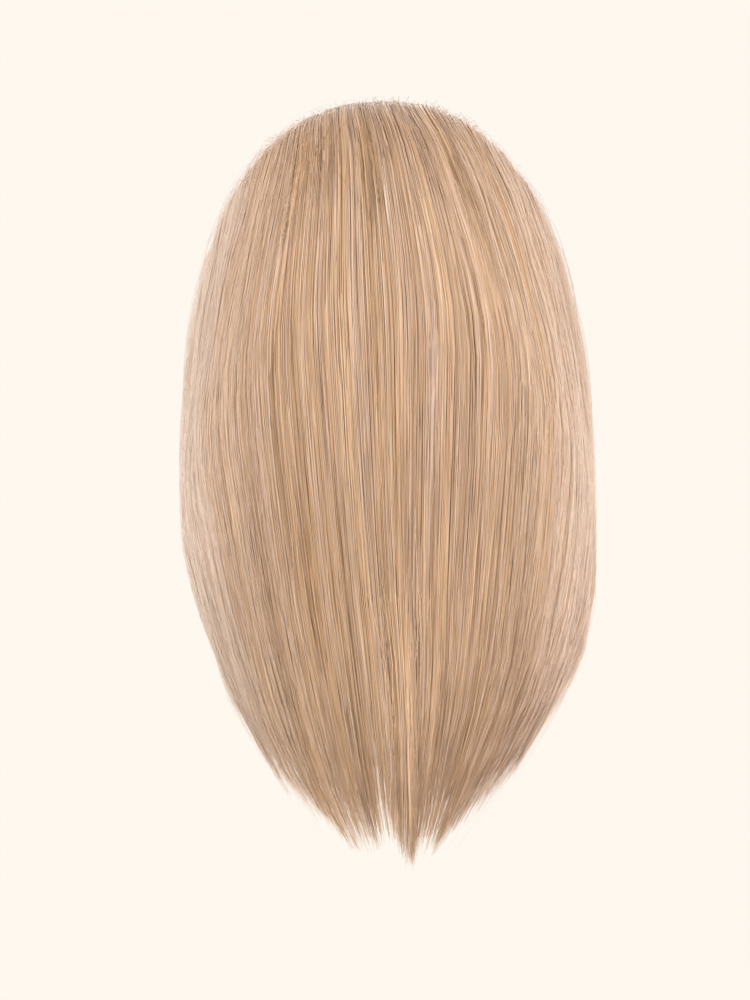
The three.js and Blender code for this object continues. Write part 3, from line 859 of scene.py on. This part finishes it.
class Nodes:
    """A material's nodes, added and linked in one call each."""

    def __init__(self, name):
        self.material = bpy.data.materials.new(name)
        self.material.use_nodes = True
        self.tree = self.material.node_tree
        self.shader = self.tree.nodes["Principled BSDF"]

    def add(self, kind, values=None, **settings):
        node = self.tree.nodes.new(kind)
        for name, value in settings.items():
            setattr(node, name, value)
        for name, value in (values or {}).items():
            self.feed(node, name, value)
        return node

    def feed(self, node, name, value):
        if isinstance(value, bpy.types.NodeSocket):
            self.tree.links.new(value, node.inputs[name])
        else:
            node.inputs[name].default_value = value

    def ramp(self, factor, stops):
        node = self.add("ShaderNodeValToRGB", {"Fac": factor})
        elements = node.color_ramp.elements
        while len(elements) < len(stops):
            elements.new(0.5)
        for element, (position, colour) in zip(elements, stops):
            element.position = position
            element.color = colour
        return node.outputs["Color"]

    def tint(self, colour, by, share=1.0):
        node = self.add("ShaderNodeMix", data_type="RGBA", blend_type="MULTIPLY")
        self.feed(node, 0, share)
        self.feed(node, 6, colour)
        self.feed(node, 7, by)
        return node.outputs[2]

    def hair_map(self):
        return self.add("ShaderNodeUVMap", uv_map="OFBake").outputs[0]

    def object_place(self):
        return self.add("ShaderNodeTexCoord").outputs["Object"]

    def noise(self, where, detail, scale=1.0, stretch=None):
        if stretch:
            where = self.add("ShaderNodeVectorMath", {0: where, 1: stretch}, operation="MULTIPLY").outputs[0]
        values = {"Vector": where, "Scale": scale, "Detail": detail}
        return self.add("ShaderNodeTexNoise", values).outputs["Fac"]

    def bump(self, height, strength, distance, **settings):
        values = {"Height": height, "Strength": strength, "Distance": distance}
        return self.add("ShaderNodeBump", values, **settings).outputs["Normal"]

    def finished(self, values):
        for name, value in values.items():
            self.feed(self.shader, name, value)
        return self.material


WHITE = (1, 1, 1, 1)

# The strands' tones from dark to light, first the ashen family and then the golden one
PALETTE = [
    (0.0, srgb(134, 109, 87)), (0.12, srgb(186, 153, 126)), (0.25, srgb(220, 190, 167)),
    (0.38, srgb(237, 214, 199)), (0.49, srgb(249, 235, 224)),
    (0.51, srgb(136, 107, 80)), (0.63, srgb(190, 154, 119)), (0.75, srgb(222, 187, 152)),
    (0.88, srgb(238, 208, 177)), (1.0, srgb(250, 230, 205)),
]

# What the tones are multiplied by along the hair, from the hairline to the tips: painted sheen and shade.
# The roots are darker, partly in their own colour and partly as painted shade. A band half way down is
# the lightest, a painted sheen, and below it the hair is darker again, a painted shade.
PAINTED_SHEEN_AND_SHADE = [
    (0.0, (0.82, 0.8, 0.78, 1)), (0.32, (0.85, 0.82, 0.785, 1)), (0.375, (0.92, 0.895, 0.87, 1)),
    (0.42, (0.96, 0.945, 0.925, 1)), (0.49, (1, 1, 0.99, 1)), (0.56, (1, 0.99, 0.975, 1)),
    (0.63, (0.93, 0.91, 0.875, 1)), (0.72, (0.86, 0.82, 0.765, 1)), (0.85, (0.87, 0.835, 0.775, 1)),
    (1.0, (0.95, 0.925, 0.87, 1)),
]

# The tones of the outer cores' streaks, from dark to light, and what they are multiplied by in the under
# layer, a painted shade under the outer hair
CORE_STREAKS = [(0.3, (128, 98, 72)), (0.5, (176, 140, 108)), (0.72, (206, 172, 138))]
UNDER_CORE_PAINTED_SHADE = 0.9


def strand_material(name):
    nodes = Nodes(name)
    where = nodes.hair_map()
    place = nodes.add("ShaderNodeSeparateXYZ", {"Vector": where})
    palette = nodes.ramp(place.outputs["X"], PALETTE)
    # Painted sheen and shade along the hair
    along = nodes.ramp(place.outputs["Y"], PAINTED_SHEEN_AND_SHADE)
    patches = nodes.noise(where, 3.0, stretch=(90, 14, 1))
    glints = nodes.ramp(patches, [(0.3, (0.9, 0.89, 0.88, 1)), (0.7, WHITE)])
    return nodes.finished({
        "Base Color": nodes.tint(nodes.tint(palette, along), glints),
        "Roughness": 0.42,
        "Specular IOR Level": 0.45,
    })


def core_material(name, shade=1.0):
    nodes = Nodes(name)
    where = nodes.hair_map()
    fine = nodes.noise(where, 4.0, stretch=(900, 5, 1))
    broad = nodes.noise(where, 3.0, stretch=(150, 3, 1))
    place = nodes.add("ShaderNodeSeparateXYZ", {"Vector": where})
    # shade darkens the streaks: painted shade for the under layer
    tones = [(position, srgb(*(value * shade for value in tone))) for position, tone in CORE_STREAKS]
    bands = nodes.ramp(broad, [(0.3, (0.75, 0.72, 0.7, 1)), (0.65, WHITE)])
    # The same painted sheen and shade along the hair as on the strands
    along = nodes.ramp(place.outputs["Y"], PAINTED_SHEEN_AND_SHADE)
    return nodes.finished({
        "Base Color": nodes.tint(nodes.tint(nodes.ramp(fine, tones), bands), along),
        "Roughness": 0.55,
        "Specular IOR Level": 0.3,
        "Normal": nodes.bump(fine, 0.5, 0.0006),
    })


def cap_material():
    nodes = Nodes("cap_mesh")
    where = nodes.object_place()
    values = {"Vector": where, "Scale": 900.0}
    cells = nodes.add("ShaderNodeTexVoronoi", values, feature="DISTANCE_TO_EDGE").outputs["Distance"]
    threads = nodes.ramp(cells, [(0.05, srgb(226, 198, 164)), (0.25, srgb(176, 142, 108))])
    tone = nodes.ramp(nodes.noise(where, 3.0, 60.0), [(0.3, (0.88, 0.86, 0.84, 1)), (0.7, WHITE)])
    return nodes.finished({
        "Base Color": nodes.tint(threads, tone),
        "Roughness": 0.8,
        "Normal": nodes.bump(cells, 0.6, 0.0005, invert=True),
    })


def clip_material():
    nodes = Nodes("clip_enamel")
    patches = nodes.noise(nodes.object_place(), 3.0, 400.0)
    return nodes.finished({
        "Base Color": nodes.ramp(patches, [(0.3, srgb(120, 88, 58)), (0.7, srgb(146, 110, 76))]),
        "Metallic": 0.55,
        "Roughness": 0.34,
        "Normal": nodes.bump(patches, 0.15, 0.0002),
    })


# Camera, light and floor

VIEW_DISTANCE = 1.8
FRAME_PIXELS = 1000
MM_PER_PIXEL = 0.47
VIEW_CENTRE = (-0.00705, -0.1749)
SENSOR_HEIGHT = 36
CREAM = srgb(254, 248, 239)

# The floor's half width and level, in metres, and its colour
FLOOR_HALF = 9
FLOOR_LEVEL = -1.7
FLOOR_COLOUR = srgb(250, 250, 250)

# name, place and size in metres, power in watts
LIGHTS = [
    ("key", (-0.35, -1.5, 1.7), 1.2, 25.5),
    ("left", (-1.8, -0.3, -0.5), 1.2, 10),
    ("right", (1.8, -0.5, -0.9), 1.2, 6),
    ("front", (0, 1.9, 0.6), 1.4, 14),
    ("low", (1.2, -1.2, -1.1), 1.2, 20),
]


def add_camera():
    data = bpy.data.cameras.new("camera")
    data.sensor_fit = "VERTICAL"
    data.sensor_height = SENSOR_HEIGHT
    data.lens = SENSOR_HEIGHT * VIEW_DISTANCE / (FRAME_PIXELS * MM_PER_PIXEL * MM)
    camera = bpy.data.objects.new("camera", data)
    camera.location = (VIEW_CENTRE[0], -VIEW_DISTANCE, VIEW_CENTRE[1])
    camera.rotation_euler = (math.radians(90), 0, 0)
    bpy.context.collection.objects.link(camera)
    bpy.context.scene.camera = camera


def add_area_light(name, place, size, power):
    data = bpy.data.lights.new(name, "AREA")
    data.size = size
    data.energy = power
    light = bpy.data.objects.new(name, data)
    light.location = place
    aim = Vector((0, 0, VIEW_CENTRE[1])) - light.location
    light.rotation_euler = aim.to_track_quat("-Z", "Y").to_euler()
    bpy.context.collection.objects.link(light)


def add_stage():
    world = bpy.data.worlds.new("world")
    world.use_nodes = True
    background = world.node_tree.nodes["Background"]
    background.inputs["Color"].default_value = CREAM
    background.inputs["Strength"].default_value = 1.0
    bpy.context.scene.world = world
    mesh = bpy.data.meshes.new("floor")
    sides = [(-1, -1), (1, -1), (1, 1), (-1, 1)]
    mesh.from_pydata([(x * FLOOR_HALF, y * FLOOR_HALF, FLOOR_LEVEL) for x, y in sides], [], [(0, 1, 2, 3)])
    paper = Nodes("floor_paper").finished({"Base Color": FLOOR_COLOUR, "Roughness": 0.9})
    mesh.materials.append(paper)
    floor = bpy.data.objects.new("floor", mesh)
    bpy.context.collection.objects.link(floor)
    for light in LIGHTS:
        add_area_light(*light)
    bpy.context.scene.view_settings.view_transform = "Standard"


def finish_hair(piece, node):
    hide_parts(node)


def add_cores():
    material = core_material("hair_core")
    for i, panel in enumerate(PANELS):
        across = np.linspace(*np.clip(PANEL_EDGES[i:i + 2], -CORE_EDGE, CORE_EDGE), CORE_COLUMNS)
        stop = CORE_END * hem(across)
        rows = BENDS[BENDS < stop.min() - LAST_ROW_GAP]
        along = np.concatenate([np.tile(rows, (CORE_COLUMNS, 1)), stop[:, None]], axis=1)
        grid = flow(across[:, None], along, 0)
        depth = CORE_SINK - relief(grid, along)
        wall = hair_wall(grid, along) - CORE_INSET - depth
        finish_hair(core_mesh(panel + "_core", grid, along, depth, wall, material), panel)


def add_strands():
    rng = np.random.default_rng(SEED)
    material = strand_material("hair_strands")
    grown = {}
    for row in LAYER_ROWS:
        layer = dict(zip(LAYER_COLUMNS, row))
        grown[layer["name"]] = grow(rng, layer)
    grown["accents"] = grow_accents(rng)
    grown["hairline"] = grow_hairline(rng)
    grown["flyaways"] = grow_flyaways(rng)
    edges = [-np.inf, *PANEL_EDGES[1:-1], np.inf]
    for name, groups in grown.items():
        for panel, low, high in zip(PANELS, edges, edges[1:]):
            inside = [(strands["middle"] >= low) & (strands["middle"] < high) for strands in groups]
            chosen = [pick(strands, kept) for strands, kept in zip(groups, inside)]
            if any(len(strands["middle"]) for strands in chosen):
                finish_hair(strand_mesh(f"{panel}_{name}", chosen, material), panel)


def add_under_hair():
    across = np.linspace(-UNDER_CORE_SPREAD, UNDER_CORE_SPREAD, CORE_COLUMNS)
    stop = under_hem(across) - UNDER_CORE_SHORTER - UNDER_CORE_CORNER * (across / UNDER_CORE_SPREAD) ** 4
    along = mix(under_start(across)[:, None], stop[:, None], np.linspace(0, 1, UNDER_ROWS))
    grid = flow(across[:, None], along, 0)
    depth = hair_wall(grid, along) + UNDER_GAP
    wall = np.full(along.shape, UNDER_CORE_WALL)
    material = core_material("under_hair_core", UNDER_CORE_PAINTED_SHADE)
    piece = core_mesh("under_hair_core", grid, along, depth, wall, material)
    finish_hair(piece, "under_hair")
    layer = dict(zip(LAYER_COLUMNS, UNDER_LAYER))
    groups = grow(np.random.default_rng(SEED + 1), layer)
    piece = strand_mesh("under_hair_strands", groups, strand_material("under_hair_strands"))
    finish_hair(piece, "under_hair")


def dress_solids():
    cap, clip = cap_material(), clip_material()
    for name in ("base_cap", "clip_front", "clip_back", "clip_left", "clip_right"):
        solid = bpy.data.objects[name]
        solid.data.materials.clear()
        solid.data.materials.append(cap if name == "base_cap" else clip)


add_camera()
add_stage()
dress_solids()
add_cores()
add_strands()
add_under_hair()
